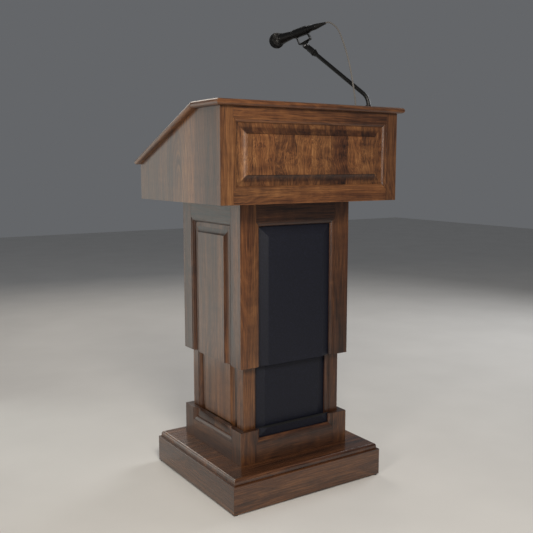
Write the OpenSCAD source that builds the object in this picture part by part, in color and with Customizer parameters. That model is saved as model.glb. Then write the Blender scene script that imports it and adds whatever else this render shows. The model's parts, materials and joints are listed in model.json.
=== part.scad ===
// Presentation lectern: a slant-top desk on a telescoping frame-and-panel column,
// with an electric lift and loudspeakers inside and a gooseneck microphone on top.
// Millimetres. The origin is the centre of the footprint, on the floor. The audience
// side faces -Y, the presenter stands at +Y, and +Z is up. The desk is drawn raised.

/* [Base] */
// Width of the plinth
base_w = 569; // [560:1:590]
// Depth of the plinth
base_d = 519; // [500:1:540]
// Height of the glides under the plinth
glide_h = 4; // [3:0.5:6]
// Height of the top edge of the skirt boards
skirt_top = 90.6; // [80:0.2:100]
// Thickness of the deck board on the skirts
deck_t = 18.6; // [16:0.2:20]

/* [Column] */
// Outer width of the sleeve and of the collar
column_w = 414; // [410:1:420]
// Outer depth of the sleeve and of the collar
column_d = 371; // [366:1:376]
// How far the column stands behind the middle of the base
column_y = 12; // [0:1:20]
// Thickness of every frame
frame_t = 19; // [19:0.5:20]
// Gap between the inner column and the sleeve around it
slide_gap = 2.5; // [2:0.5:3]
// Height of the top edge of the collar
collar_top = 215.5; // [215:0.5:216]
// Height of the bottom edge of the raised sleeve
sleeve_bottom = 417; // [417:0.5:420]
// Half width of the openings in the front and back frames
open_front = 136; // [120:1:140]
// Half width of the openings in the side frames
open_side = 115; // [100:1:118]
// Width of the slope round a raised panel
bevel_w = 31; // [20:1:35]

/* [Desk] */
// Width of the desk box
desk_w = 650; // [640:1:660]
// Front face of the desk box
desk_front = -265.5; // [-266:0.5:-262]
// Back face of the desk box
desk_back = 271; // [268:0.5:272]
// Underside of the desk box
desk_bottom = 925.5; // [925.5:0.5:930]
// Underside of the flat part of the top
top_under = 1200; // [1195:1:1205]
// Thickness of the top
top_t = 18; // [16:1:20]
// Width of the top
top_w = 686; // [680:1:690]
// Half depth of the top, front edge to lower edge
top_half_d = 282.5; // [280:0.5:284]
// Where the flat part of the top meets the slope
break_y = -122; // [-130:1:-110]
// Slope of the reading board
slope = 22; // [20:0.5:23]

/* [Microphone] */
// Distance of the gooseneck to the right of the middle
neck_x = 261; // [250:1:265]
// Distance of the gooseneck in front of the middle
neck_y = -200; // [-205:1:-195]
// Compass direction of the gooseneck, from +X towards +Y
neck_heading = 112; // [110:0.5:114]
// Rise of the straight part of the gooseneck above level
neck_rise = 37.5; // [36:0.5:40]
// How far the microphone's head points below level
mic_dip = 11.3; // [8:0.1:14]

/* [Hidden] */
$fn = 48;

WALNUT = "#6b4a34";
WALNUT_DARK = "#4e3424";
CLOTH = "#232428";
STEEL = "#8c9094";
BLACK = "#1b1b1d";

// Mouldings and joints of the frames
stick_w = 14;                     // width of the rounded inner edge of a frame
stick_y = 9.5;                    // depth of that edge below the face
quirk = 1.5;                      // step at the start of the rounding
groove_y = 10;                    // depth of the groove that holds a panel
groove_t = 6;                     // width of that groove
groove_in = 9;                    // how far the groove runs into the frame
tongue = 8;                       // how far a panel reaches into it
panel_back = 18.5;                // depth of a panel's back
field_y = 1;                      // depth of a raised field below the frame's face
field_step = 1.6;                 // small step round a wooden field
seam = 0.15;                      // hairline between a rail and a stile

deck_top = skirt_top + deck_t;
skirt_t = 22;
collar_open = 185.4;              // bottom of the openings in the collar
sleeve_open = 852.5;              // top of the openings in the sleeve
sleeve_hw = column_w / 2;
sleeve_hd = column_d / 2;
inner_hw = sleeve_hw - frame_t - slide_gap;
inner_hd = sleeve_hd - frame_t - slide_gap;
inner_top = 500;
inner_open = 440;                 // top of the openings in the inner column
desk_hw = desk_w / 2;
desk_open = 269;
desk_open_z = [978, 1156];
top_z = top_under + top_t;
top_hw = top_w / 2;
nose = top_t / 2;
under_break = break_y - top_t * tan(slope / 2);

// Lift
tube_w = 80;
tube_wall = 3;
inner_tube_w = 73.4;
inner_tube_wall = 2.5;
tube_top = 560;
inner_tube_low = 340;
plate_w = 160;
plate_t = 6;
plate_hole = 64;                  // distance of a bolt from the middle of a plate
screw_r = 8;
screw_run = 0.05;                 // running clearance round the screw

// Controls
plate_x = [120, 300];
plate_z = [971, 1041];
plate_y = 246;
control_t = 4;
control_z = 1008;
knob_x = 165;
power_x = 225;
lift_x = 265;
rocker_w = 18;
rocker_h = 26;
rocker_gap = 0.6;
rocker_lean = 8;                  // tilt of a pressed rocker
jack_r = 3.2;                     // line-in socket
pivot_r = 1.5;                    // pins that a rocker turns on
pivot_reach = 3.5;                // how far a pin goes into the plate
pivot_run = 0.05;                 // running clearance round a pin

// Gooseneck and microphone: places in the upright plane through the gooseneck
neck_r = 6.5;
neck_bend = 50;                   // radius of the bend at the bottom
neck_start = 1227;                // height where the bend starts
neck_len = 232;                   // length of the straight part
neck_turn = 90 - neck_rise;
neck_top = [neck_bend * (1 - cos(neck_turn)), neck_start + neck_bend * sin(neck_turn)];
barrel_len = 42;                  // end of the gooseneck to the pivot
pivot = neck_top + (neck_len + barrel_len) * [cos(neck_rise), sin(neck_rise)];
mic_up = 51;                      // microphone axis above the pivot
mic_tail = -25;                   // along the axis, pivot at 0, towards the head
mic_neck = 93;
head_u = 111;
head_r = 26;
plug_end = -87;

// Microphone cable: 4.8 mm thick, from the grommet up to the connector
cable_r = 2.4;
cable_sides = 10;
grommet_at = [206, -201];
grommet_h = 4;
cable_route = [[206, -201, 1222], [206, -201, 1232], [206, -199.5, 1244], [206, -196, 1260],
    [206, -190.5, 1281], [206, -184, 1306], [206, -176.5, 1332], [206, -168, 1358],
    [206, -157.5, 1384], [206, -145, 1411], [206, -130, 1439], [206.5, -113, 1465],
    [207, -98, 1480], [207, -84, 1490], [206, -73, 1496.5], [204.5, -63, 1501],
    [202.3, -55, 1501.6], [200.5, -50.5, 1500.7]];

// ---------- helpers ----------

// A (y, z) outline drawn out along X, or an (x, z) outline along Y, both centred
module along_x(len) { rotate([90, 0, 90]) linear_extrude(len, center = true) children(); }
module along_y(len) { rotate([90, 0, 0]) linear_extrude(len, center = true) children(); }

module block(x, y, z) {
    translate([x[0], y[0], z[0]]) cube([x[1] - x[0], y[1] - y[0], z[1] - z[0]]);
}

// Puts a piece drawn with its face on the XZ plane, inward along +Y, on one of four sides
module on_side(side, hw, hd, cy) {
    if (side == "front") translate([0, cy - hd, 0]) children();
    if (side == "back") translate([0, cy + hd, 0]) rotate([0, 0, 180]) children();
    if (side == "left") translate([-hw, cy, 0]) rotate([0, 0, -90]) children();
    if (side == "right") translate([hw, cy, 0]) rotate([0, 0, 90]) children();
}

// Board whose upright ends are mitred at 45 degrees
module mitred_board(hw, t, z) {
    translate([0, 0, z[0]]) linear_extrude(z[1] - z[0])
        polygon([[-hw, 0], [hw, 0], [hw - t, t], [-hw + t, t]]);
}

// Rounded edge of a frame: distance from the opening's edge and depth below the face
function rounded(a) = [stick_w * (1 - sin(a)), stick_y - (stick_y - quirk) * cos(a)];

// What is cut from a frame: the opening, its rounded edges and the panel's groove
module opening(open, z) {
    edge = [for (a = [90:-15:0]) rounded(a)];
    deep = frame_t + 1;
    tall = z[1] - z[0] + 4 * stick_w;
    intersection() {
        translate([0, 0, z[0] - 2 * stick_w]) linear_extrude(tall) polygon(concat(
            [[open, deep]], [for (p = edge) [open + p[0], p[1]]], [[open + stick_w, -1]],
            [[-open - stick_w, -1]],
            [for (i = [len(edge) - 1:-1:0]) [-open - edge[i][0], edge[i][1]]],
            [[-open, deep]]));
        along_x(2 * open + 4 * stick_w) polygon(concat(
            [[deep, z[1]]], [for (p = edge) [p[1], z[1] + p[0]]], [[-1, z[1] + stick_w]],
            [[-1, z[0] - stick_w]],
            [for (i = [len(edge) - 1:-1:0]) [edge[i][1], z[0] - edge[i][0]]],
            [[deep, z[0]]]));
    }
    block([-open - groove_in, open + groove_in], [groove_y, groove_y + groove_t],
        [z[0] - groove_in, z[1] + groove_in]);
}

// The part of a frame that belongs to its two stiles
module stile_zone(hw, span, open, z) {
    low = min(span[0], z[0] - stick_w) - 1;
    high = max(span[1], z[1] + stick_w) + 1;
    for (s = [-1, 1]) translate([0, frame_t / 2, 0]) along_y(frame_t + 2) polygon([
        [s * open, z[0]], [s * (open + stick_w), z[0] - stick_w],
        [s * (open + stick_w), low], [s * (hw + 1), low], [s * (hw + 1), high],
        [s * (open + stick_w), high], [s * (open + stick_w), z[1] + stick_w],
        [s * open, z[1]]]);
}

// A glued-up frame: stiles and rails as separate boards, span = its bottom and top
module face_frame(hw, span, open, z) {
    intersection() {
        difference() {
            mitred_board(hw, frame_t, span);
            opening(open, z);
        }
        stile_zone(hw, span, open, z);
    }
    difference() {
        mitred_board(hw, frame_t, span);
        opening(open, z);
        for (s = [-seam, seam]) translate([s, 0, 0]) stile_zone(hw, span, open, z);
    }
}

// Raised panel: tongue, slope and field; closed = whether it slopes at bottom and top
module raised_panel(open, z, closed, step) {
    low = closed[0] ? z[0] - tongue : z[0];
    high = closed[1] ? z[1] + tongue : z[1];
    tongue_back = groove_y + groove_t;
    slope_end = field_y + step;
    inset = 0.5;
    intersection() {
        translate([0, 0, low]) linear_extrude(high - low) polygon([
            [-open - tongue, tongue_back], [-open - tongue, groove_y], [-open, groove_y],
            [-open + bevel_w, slope_end], [-open + bevel_w, field_y],
            [open - bevel_w, field_y], [open - bevel_w, slope_end], [open, groove_y],
            [open + tongue, groove_y], [open + tongue, tongue_back],
            [open - inset, tongue_back], [open - inset, panel_back],
            [-open + inset, panel_back], [-open + inset, tongue_back]]);
        along_x(2 * (open + tongue)) polygon(concat(
            closed[0] ? [[tongue_back, low], [groove_y, low], [groove_y, z[0]],
                [slope_end, z[0] + bevel_w], [field_y, z[0] + bevel_w]]
                : [[panel_back, low], [field_y, low]],
            closed[1] ? [[field_y, z[1] - bevel_w], [slope_end, z[1] - bevel_w],
                [groove_y, z[1]], [groove_y, high], [tongue_back, high],
                [tongue_back, z[1] - inset], [panel_back, z[1] - inset]]
                : [[field_y, high], [panel_back, high]],
            closed[0] ? [[panel_back, z[0] + inset], [tongue_back, z[0] + inset]] : []));
    }
}

// Sweep of a round tube along points, as one closed skin
function unit(v) = v / norm(v);
function tangent(p, i) = unit(p[min(i + 1, len(p) - 1)] - p[max(i - 1, 0)]);
function ring(c, t, r, n) =
    let (a = unit(cross(t, [1, 0, 0])), b = cross(t, a))
    [for (k = [0:n - 1]) c + r * (cos(360 * k / n) * a + sin(360 * k / n) * b)];
function between(p, q, r, s, t) = 0.5 * (2 * q + (r - p) * t + (2 * p - 5 * q + 4 * r - s) * t * t
    + (3 * q - p - 3 * r + s) * t * t * t);
function smooth(p) = concat([for (i = [0:len(p) - 2]) for (t = [0, 0.5])
    between(p[max(i - 1, 0)], p[i], p[i + 1], p[min(i + 2, len(p) - 1)], t)], [p[len(p) - 1]]);

module tube(route, r, n) {
    p = smooth(route);
    last = len(p) - 1;
    polyhedron(
        points = [for (i = [0:last]) each ring(p[i], tangent(p, i), r, n)],
        faces = concat([[for (k = [0:n - 1]) k]],
            [for (i = [0:last - 1]) for (k = [0:n - 1])
                each [[i * n + k, (i + 1) * n + k, i * n + (k + 1) % n],
                    [i * n + (k + 1) % n, (i + 1) * n + k, (i + 1) * n + (k + 1) % n]]],
            [[for (k = [n - 1:-1:0]) last * n + k]]));
}

// ---------- base ----------

module glides() {
    for (x = [-1, 1]) for (y = [-1, 1])
        color(BLACK) translate([x * (base_w / 2 - 11), y * (base_d / 2 - 11), 0])
            cylinder(h = glide_h, r = 9);
}

module skirt(side) {
    hw = side == "front" || side == "back" ? base_w / 2 : base_d / 2;
    color(WALNUT_DARK) on_side(side, base_w / 2, base_d / 2, 0)
        mitred_board(hw, skirt_t, [glide_h, skirt_top]);
}

module skirt_front() { skirt("front"); }
module skirt_left() { skirt("left"); }
module skirt_right() { skirt("right"); }

module skirt_back() {
    difference() {
        skirt("back");
        block([-150.2, -109.8], [base_d / 2 - skirt_t - 1, base_d / 2 + 1], [35.8, 64.2]);
    }
}

// Half outline of the deck board, with a rounded upper edge
module deck_outline(half) {
    round_r = 9;
    lip = 7.5;
    edge = [for (a = [0:15:90]) [half - lip - round_r * (1 - cos(a)),
        deck_top - round_r * (1 - sin(a))]];
    polygon(concat([[-half + lip, skirt_top], [half - lip, skirt_top]], edge,
        [for (i = [len(edge) - 1:-1:0]) [-edge[i][0], edge[i][1]]]));
}

module base_deck() {
    color(WALNUT_DARK) difference() {
        intersection() {
            along_y(base_d) deck_outline(base_w / 2);
            along_x(base_w) deck_outline(base_d / 2);
        }
        translate([0, column_y, skirt_top - 1]) cylinder(h = deck_t + 2, r = 24);
        bolt_places() translate([0, 0, skirt_top - 1]) cylinder(h = deck_t + 2, r = 4.3);
    }
}

module power_inlet() {
    color(BLACK) difference() {
        union() {
            block([-150, -110], [base_d / 2 - 26, base_d / 2], [36, 64]);
            block([-154, -106], [base_d / 2, base_d / 2 + 2.5], [32, 68]);
        }
        block([-143, -117], [base_d / 2 - 16, base_d / 2 + 4], [41, 59]);
    }
    for (x = [-137, -130, -123])
        color(STEEL) block([x - 1, x + 1], [base_d / 2 - 16, base_d / 2 - 4], [48, 52]);
}

// ---------- collar and inner column ----------

module collar_frame(side) {
    wide = side == "front" || side == "back";
    color(WALNUT) on_side(side, sleeve_hw, sleeve_hd, column_y)
        face_frame(wide ? sleeve_hw : sleeve_hd, [deck_top, collar_top],
            wide ? open_front : open_side, [collar_open, collar_top + 60]);
}

module collar_front_frame() { collar_frame("front"); }
module collar_back_frame() { collar_frame("back"); }
module collar_left_frame() { collar_frame("left"); }
module collar_right_frame() { collar_frame("right"); }

module collar_panel(side, step) {
    open = side == "front" || side == "back" ? open_front : open_side;
    on_side(side, sleeve_hw, sleeve_hd, column_y) intersection() {
        raised_panel(open, [collar_open, collar_top + 60], [true, false], step);
        block([-open - tongue, open + tongue], [0, frame_t], [0, collar_top]);
    }
}

module collar_panels() {
    for (side = ["back", "left", "right"]) color(WALNUT) collar_panel(side, field_step);
}

module collar_grille() { color(CLOTH) collar_panel("front", 0); }

module inner_frame(side) {
    wide = side == "front" || side == "back";
    color(WALNUT) on_side(side, inner_hw, inner_hd, column_y)
        face_frame(wide ? inner_hw : inner_hd, [deck_top, inner_top],
            wide ? open_front : open_side, [collar_open, inner_open]);
}

module inner_front_frame() { inner_frame("front"); }
module inner_back_frame() { inner_frame("back"); }
module inner_left_frame() { inner_frame("left"); }
module inner_right_frame() { inner_frame("right"); }

module inner_panel(side, step) {
    open = side == "front" || side == "back" ? open_front : open_side;
    on_side(side, inner_hw, inner_hd, column_y)
        raised_panel(open, [collar_open, inner_open], [true, true], step);
}

module inner_panels() {
    for (side = ["back", "left", "right"]) color(WALNUT) inner_panel(side, field_step);
}

module inner_grille() { color(CLOTH) inner_panel("front", 0); }

// ---------- lift ----------

module bolt_places() {
    for (x = [-1, 1]) for (y = [-1, 1])
        translate([x * plate_hole, column_y + y * plate_hole, 0]) children();
}

module lift_plate(z) {
    translate([-plate_w / 2, column_y - plate_w / 2, z]) cube([plate_w, plate_w, plate_t]);
}

module square_tube(w, wall, z) {
    translate([0, column_y, z[0]]) linear_extrude(z[1] - z[0]) difference() {
        square(w, center = true);
        square(w - 2 * wall, center = true);
    }
}

module lift_foot_plate() {
    color(STEEL) difference() {
        lift_plate(deck_top);
        translate([0, column_y, deck_top - 1]) cylinder(h = plate_t + 2, r = 24);
        bolt_places() translate([0, 0, deck_top - 1]) cylinder(h = plate_t + 2, r = 4.3);
    }
}

module lift_bolts() {
    color(STEEL) bolt_places() translate([0, 0, skirt_top - 6]) {
        cylinder(h = deck_t + plate_t + 6, r = 4);
        translate([0, 0, deck_t + plate_t + 6]) cylinder(h = 5.3, r = 7.5, $fn = 6);
        translate([0, 0, 0]) cylinder(h = 6, r = 7.5, $fn = 6);
    }
}

module lift_outer_tube() {
    color(STEEL) square_tube(tube_w, tube_wall, [deck_top + plate_t, tube_top]);
}

module lift_motor() {
    color(BLACK) difference() {
        union() {
            block([-34, 34], [column_y - 34, column_y + 34], [48, skirt_top]);
            translate([34, column_y, 64]) rotate([0, 90, 0]) cylinder(h = 120, r = 24);
            translate([0, column_y, skirt_top]) cylinder(h = deck_t + plate_t, r = 20);
        }
        translate([0, column_y, 60]) cylinder(h = 100, r = screw_r + screw_run);
    }
}

module lift_screw() {
    color(STEEL) translate([0, column_y, 60]) cylinder(h = 420, r = screw_r);
}

module lift_inner_tube() {
    color(STEEL) square_tube(inner_tube_w, inner_tube_wall, [inner_tube_low, desk_bottom - plate_t]);
}

module lift_nut() {
    side = inner_tube_w - 2 * inner_tube_wall;
    color("#c2a15a") difference() {
        translate([-side / 2, column_y - side / 2, inner_tube_low]) cube([side, side, 25]);
        translate([0, column_y, inner_tube_low - 1]) cylinder(h = 27, r = screw_r + screw_run);
    }
}

module lift_head_plate() { color(STEEL) lift_plate(desk_bottom - plate_t); }

// ---------- sleeve and loudspeakers ----------

module sleeve_frame(side) {
    wide = side == "front" || side == "back";
    color(WALNUT) on_side(side, sleeve_hw, sleeve_hd, column_y)
        face_frame(wide ? sleeve_hw : sleeve_hd, [sleeve_bottom, desk_bottom],
            wide ? open_front : open_side, [sleeve_bottom - 60, sleeve_open]);
}

module sleeve_front_frame() { sleeve_frame("front"); }
module sleeve_back_frame() { sleeve_frame("back"); }
module sleeve_left_frame() { sleeve_frame("left"); }
module sleeve_right_frame() { sleeve_frame("right"); }

module sleeve_panel(side, step) {
    open = side == "front" || side == "back" ? open_front : open_side;
    on_side(side, sleeve_hw, sleeve_hd, column_y)
        raised_panel(open, [sleeve_bottom, sleeve_open], [false, true], step);
}

module sleeve_panels() {
    for (side = ["back", "left", "right"]) color(WALNUT) sleeve_panel(side, field_step);
}

module sleeve_grille() { color(CLOTH) sleeve_panel("front", 0); }

baffle_y = column_y - sleeve_hd + frame_t;
baffle_t = 12;
speaker_z = 806;
woofer_x = -52;
tweeter_x = 102;

module speaker_baffle() {
    color(BLACK) difference() {
        block([-184, 184], [baffle_y, baffle_y + baffle_t], [714, 900]);
        translate([woofer_x, baffle_y - 1, speaker_z]) rotate([-90, 0, 0])
            cylinder(h = baffle_t + 2, r = 72);
        translate([tweeter_x, baffle_y - 1, speaker_z]) rotate([-90, 0, 0])
            cylinder(h = baffle_t + 2, r = 38);
    }
}

module woofer() {
    color(BLACK) translate([woofer_x, baffle_y + baffle_t, speaker_z]) rotate([-90, 0, 0])
        rotate_extrude() polygon([[0, 22], [20, 16], [68, 0], [82, 0], [82, 4], [70, 6],
            [48, 34], [48, 52], [40, 58], [0, 58]]);
}

module tweeter() {
    color(BLACK) translate([tweeter_x, baffle_y + baffle_t, speaker_z]) rotate([-90, 0, 0])
        rotate_extrude() polygon([[0, 2], [12, 0], [44, 0], [44, 4], [26, 6], [26, 24],
            [0, 24]]);
}

// ---------- desk ----------

module desk_front_frame() {
    color(WALNUT) translate([0, desk_front, 0])
        face_frame(desk_hw, [desk_bottom, top_under], desk_open, desk_open_z);
}

module desk_front_panel() {
    color(WALNUT) translate([0, desk_front, 0])
        raised_panel(desk_open, desk_open_z, [true, true], field_step);
}

// Side board: sloped along the top and mitred to the front frame
module desk_side(s) {
    fall = (desk_back - under_break) * tan(slope);
    color(WALNUT) intersection() {
        along_x(desk_w) polygon([[desk_front, desk_bottom], [desk_back, desk_bottom],
            [desk_back, top_under - fall], [under_break, top_under],
            [desk_front, top_under]]);
        translate([0, 0, desk_bottom]) linear_extrude(top_under - desk_bottom) polygon([
            [s * desk_hw, desk_front], [s * desk_hw, desk_back],
            [s * (desk_hw - frame_t), desk_back],
            [s * (desk_hw - frame_t), desk_front + frame_t]]);
    }
}

module desk_left_side() { desk_side(-1); }
module desk_right_side() { desk_side(1); }

module desk_floor() {
    color(WALNUT) block([-desk_hw + frame_t, desk_hw - frame_t],
        [desk_front + frame_t, desk_back - frame_t], [desk_bottom, desk_bottom + frame_t]);
}

module desk_rear_rail() {
    color(WALNUT) block([-desk_hw + frame_t, desk_hw - frame_t],
        [desk_back - frame_t, desk_back], [desk_bottom, desk_bottom + 44]);
}

module desk_top() {
    color(WALNUT) along_x(top_w) polygon(concat(
        [for (a = [90:15:270]) [-top_half_d + nose + nose * cos(a),
            top_under + nose + nose * sin(a)]],
        [[under_break, top_under], [break_y, top_z]]));
}

module reading_board() {
    mid = [(break_y + under_break) / 2, top_under + nose];
    run = (top_half_d - nose - mid[0]) / cos(slope);
    end = mid + run * [cos(slope), -sin(slope)];
    color(WALNUT) along_x(top_w) polygon(concat([[under_break, top_under], [break_y, top_z]],
        [for (a = [90 - slope:-15:-90 - slope]) end + nose * [cos(a), sin(a)]]));
}

module paper_stop() {
    reach = 385;
    glue = 0.02;
    color(WALNUT) translate([0, break_y, top_z]) rotate([-slope, 0, 0])
        block([-270, 270], [reach, reach + 14], [glue, 13]);
}

// ---------- amplifier and controls ----------

module amplifier_case() {
    wall = 2;
    x = [plate_x[0] + 5, plate_x[1] - 5];
    y = [plate_y - 150, plate_y];
    z = [desk_bottom + frame_t, plate_z[1] - 4];
    color(STEEL) difference() {
        block(x, y, z);
        block([x[0] + wall, x[1] - wall], [y[0] + wall, y[1] + 1], [z[0] + wall, z[1] - wall]);
    }
}

module control_plate() {
    color(BLACK) difference() {
        block(plate_x, [plate_y, plate_y + control_t], plate_z);
        translate([knob_x, plate_y - 1, control_z]) rotate([-90, 0, 0])
            cylinder(h = control_t + 2, r = 3.05);
        for (x = [power_x, lift_x]) {
            block([x - rocker_w / 2 - rocker_gap, x + rocker_w / 2 + rocker_gap],
                [plate_y - 1, plate_y + control_t + 1],
                [control_z - rocker_h / 2 - rocker_gap, control_z + rocker_h / 2 + rocker_gap]);
            translate([x, plate_y + control_t / 2, control_z]) rotate([0, 90, 0])
                cylinder(h = rocker_w + 2 * pivot_reach + 1, r = pivot_r + pivot_run, center = true);
        }
        translate([knob_x - 25, plate_y - 1, control_z]) rotate([-90, 0, 0])
            cylinder(h = control_t + 2, r = jack_r);
    }
}

module volume_knob() {
    color(BLACK) translate([knob_x, plate_y + control_t + 0.5, control_z]) rotate([-90, 0, 0])
        difference() {
            union() {
                cylinder(h = 14, r = 11);
                translate([0, 0, -14]) cylinder(h = 14, r = 3);
            }
            translate([-0.8, 4, 12.5]) cube([1.6, 8, 3]);
        }
}

// The power rocker rests pressed at its top; the lift rocker springs back to level
module rocker(x, tint, lean) {
    half = rocker_h / 2;
    color(tint) translate([x, plate_y + control_t / 2, control_z]) rotate([lean, 0, 0]) {
        along_x(rocker_w) polygon([[-5, 0], [-2, -half], [5.5, -half], [4, 0], [5.5, half],
            [-2, half]]);
        rotate([0, 90, 0])
            cylinder(h = rocker_w + 2 * pivot_reach, r = pivot_r, center = true);
    }
}

module power_rocker() { rocker(power_x, BLACK, rocker_lean); }
module lift_rocker() { rocker(lift_x, "#3a3b3e", 0); }

// ---------- gooseneck microphone ----------

// The upright plane of the gooseneck: x runs out along its heading and z runs up
module neck_plane() {
    translate([neck_x, neck_y, 0]) rotate([0, 0, neck_heading]) children();
}

// At the pivot, with x along the microphone towards its head and z square to it
module at_pivot(dip) {
    neck_plane() translate([pivot[0], 0, pivot[1]]) rotate([0, dip, 0]) children();
}

module mic_flange() {
    color(BLACK) translate([neck_x, neck_y, top_z]) difference() {
        union() {
            cylinder(h = 4, r = 22);
            cylinder(h = 10, r = 10);
        }
        translate([0, 0, -1]) cylinder(h = 12, r = neck_r);
        for (a = [30, 150, 270]) rotate([0, 0, a]) translate([15.5, 0, 3]) cylinder(h = 2, r = 3);
    }
}

// The bend is a hair thinner than the straight parts, which reach a little way over it
module gooseneck() {
    over = 0.5;
    color(BLACK) neck_plane() {
        translate([0, 0, top_z]) cylinder(h = neck_start - top_z + over, r = neck_r);
        translate([neck_bend, 0, neck_start]) rotate([90, 0, 180])
            rotate_extrude(angle = neck_turn)
                translate([neck_bend, 0]) circle(r = neck_r - 0.02);
        translate([neck_top[0], 0, neck_top[1]]) rotate([0, neck_turn, 0])
            translate([0, 0, -over]) cylinder(h = neck_len + over, r = neck_r);
    }
}

ear_in = 6;
ear_out = 10;
lug_half = 5.8;
pin_r = 2.55;
pin_hole = 2.6;

module clip_barrel() {
    color(BLACK) at_pivot(neck_turn) difference() {
        union() {
            translate([0, 0, -barrel_len]) cylinder(h = 30, r = 10);
            translate([0, 0, -barrel_len]) cylinder(h = 5, r = 11.5);
            for (s = [-1, 1]) translate([0, s * (ear_in + ear_out) / 2, 0]) {
                rotate([90, 0, 0]) cylinder(h = ear_out - ear_in, r = 8, center = true);
                translate([-7, -(ear_out - ear_in) / 2, -14]) cube([14, ear_out - ear_in, 14]);
            }
        }
        rotate([90, 0, 0]) cylinder(h = 40, r = pin_hole, center = true);
    }
}

module clip_screw() {
    color(STEEL) at_pivot(0) {
        rotate([90, 0, 0]) cylinder(h = 2 * ear_out + 1, r = pin_r, center = true);
        for (s = [-1, 1]) translate([0, s * (ear_out + 1.6), 0]) rotate([90, 0, 0])
            cylinder(h = 3, r = 5, center = true);
    }
}

// Flat bar between two points of the microphone's upright plane
module strut(p, q, wide, thick) {
    d = q - p;
    translate([p[0], 0, p[1]]) rotate([0, -atan2(d[1], d[0]), 0])
        translate([-thick / 2, -wide / 2, -thick / 2]) cube([norm(d) + thick, wide, thick]);
}

clip_u = [-15, 38];
clip_in = 12.7;
clip_out = 15;

module mic_clip() {
    color(BLACK) at_pivot(mic_dip) difference() {
        union() {
            translate([clip_u[0], 0, mic_up]) rotate([0, 90, 0])
                cylinder(h = clip_u[1] - clip_u[0], r = clip_out);
            strut([29, 37.5], [22, 11], 14, 4);
            strut([-13, 37.5], [-22, 19], 14, 4);
            strut([22, 10], [-22, 18.5], 14, 5);
            rotate([90, 0, 0]) cylinder(h = 2 * lug_half, r = 7, center = true);
            translate([-6, -lug_half, 0]) cube([12, 2 * lug_half, 13]);
        }
        translate([clip_u[0] - 1, 0, mic_up]) rotate([0, 90, 0]) cylinder(h = 70, r = clip_in);
        translate([clip_u[0] - 1, -6, mic_up + 5]) cube([70, 12, 20]);
        rotate([90, 0, 0]) cylinder(h = 40, r = pin_hole, center = true);
    }
}

// A body of revolution about the microphone's axis: outline in (radius, place) pairs
module on_mic_axis() {
    color(BLACK) at_pivot(mic_dip) translate([0, 0, mic_up]) rotate([0, 90, 0])
        rotate_extrude() children();
}

module mic_handle() {
    on_mic_axis() polygon([[9.6, mic_tail], [11.5, mic_tail], [12.6, 45], [17.5, 86],
        [18.8, 87], [18.8, mic_neck], [0, mic_neck], [0, mic_tail + 17],
        [9.6, mic_tail + 17]]);
}

module mic_head() {
    neck_r_in = sqrt(head_r * head_r - pow(head_u - mic_neck, 2));
    start = acos((head_u - mic_neck) / head_r);
    on_mic_axis() polygon(concat([[0, mic_neck]],
        [for (i = [0:6]) let (a = start + i * (85 - start) / 6)
            [head_r * sin(a), head_u - head_r * cos(a)]],
        [[head_r + 0.7, head_u - 2.2], [head_r + 0.7, head_u + 2.2]],
        [for (i = [0:6]) let (a = 95 + i * 85 / 6)
            [head_r * sin(a), head_u - head_r * cos(a)]]));
}

module xlr_connector() {
    color(STEEL) on_mic_axis() polygon([[0, mic_tail + 16], [9.5, mic_tail + 16],
        [9.5, mic_tail - 25], [8.6, mic_tail - 27], [7.6, mic_tail - 45], [5, plug_end + 8],
        [4, plug_end], [0, plug_end]]);
}

module cable_grommet() {
    color(BLACK) translate([grommet_at[0], grommet_at[1], top_z]) rotate_extrude()
        polygon([[0, 0], [10, 0], [10, 1.5], [7.5, grommet_h], [0, grommet_h]]);
}

module mic_cable() { color("#55534f") tube(cable_route, cable_r, cable_sides); }

glides();
skirt_front();
skirt_back();
skirt_left();
skirt_right();
base_deck();
power_inlet();
collar_front_frame();
collar_back_frame();
collar_left_frame();
collar_right_frame();
collar_panels();
collar_grille();
inner_front_frame();
inner_back_frame();
inner_left_frame();
inner_right_frame();
inner_panels();
inner_grille();
lift_foot_plate();
lift_bolts();
lift_outer_tube();
lift_motor();
lift_screw();
lift_inner_tube();
lift_nut();
lift_head_plate();
sleeve_front_frame();
sleeve_back_frame();
sleeve_left_frame();
sleeve_right_frame();
sleeve_panels();
sleeve_grille();
speaker_baffle();
woofer();
tweeter();
desk_floor();
desk_front_frame();
desk_front_panel();
desk_left_side();
desk_right_side();
desk_rear_rail();
desk_top();
reading_board();
paper_stop();
amplifier_case();
control_plate();
volume_knob();
power_rocker();
lift_rocker();
mic_flange();
gooseneck();
clip_barrel();
clip_screw();
mic_clip();
mic_handle();
mic_head();
xlr_connector();
cable_grommet();
mic_cable();
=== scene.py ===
"""Looks of the presentation lectern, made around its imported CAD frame. Metres throughout."""
import json
import math
import random

import bmesh
import bpy
from mathutils import Matrix, Vector


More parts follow.
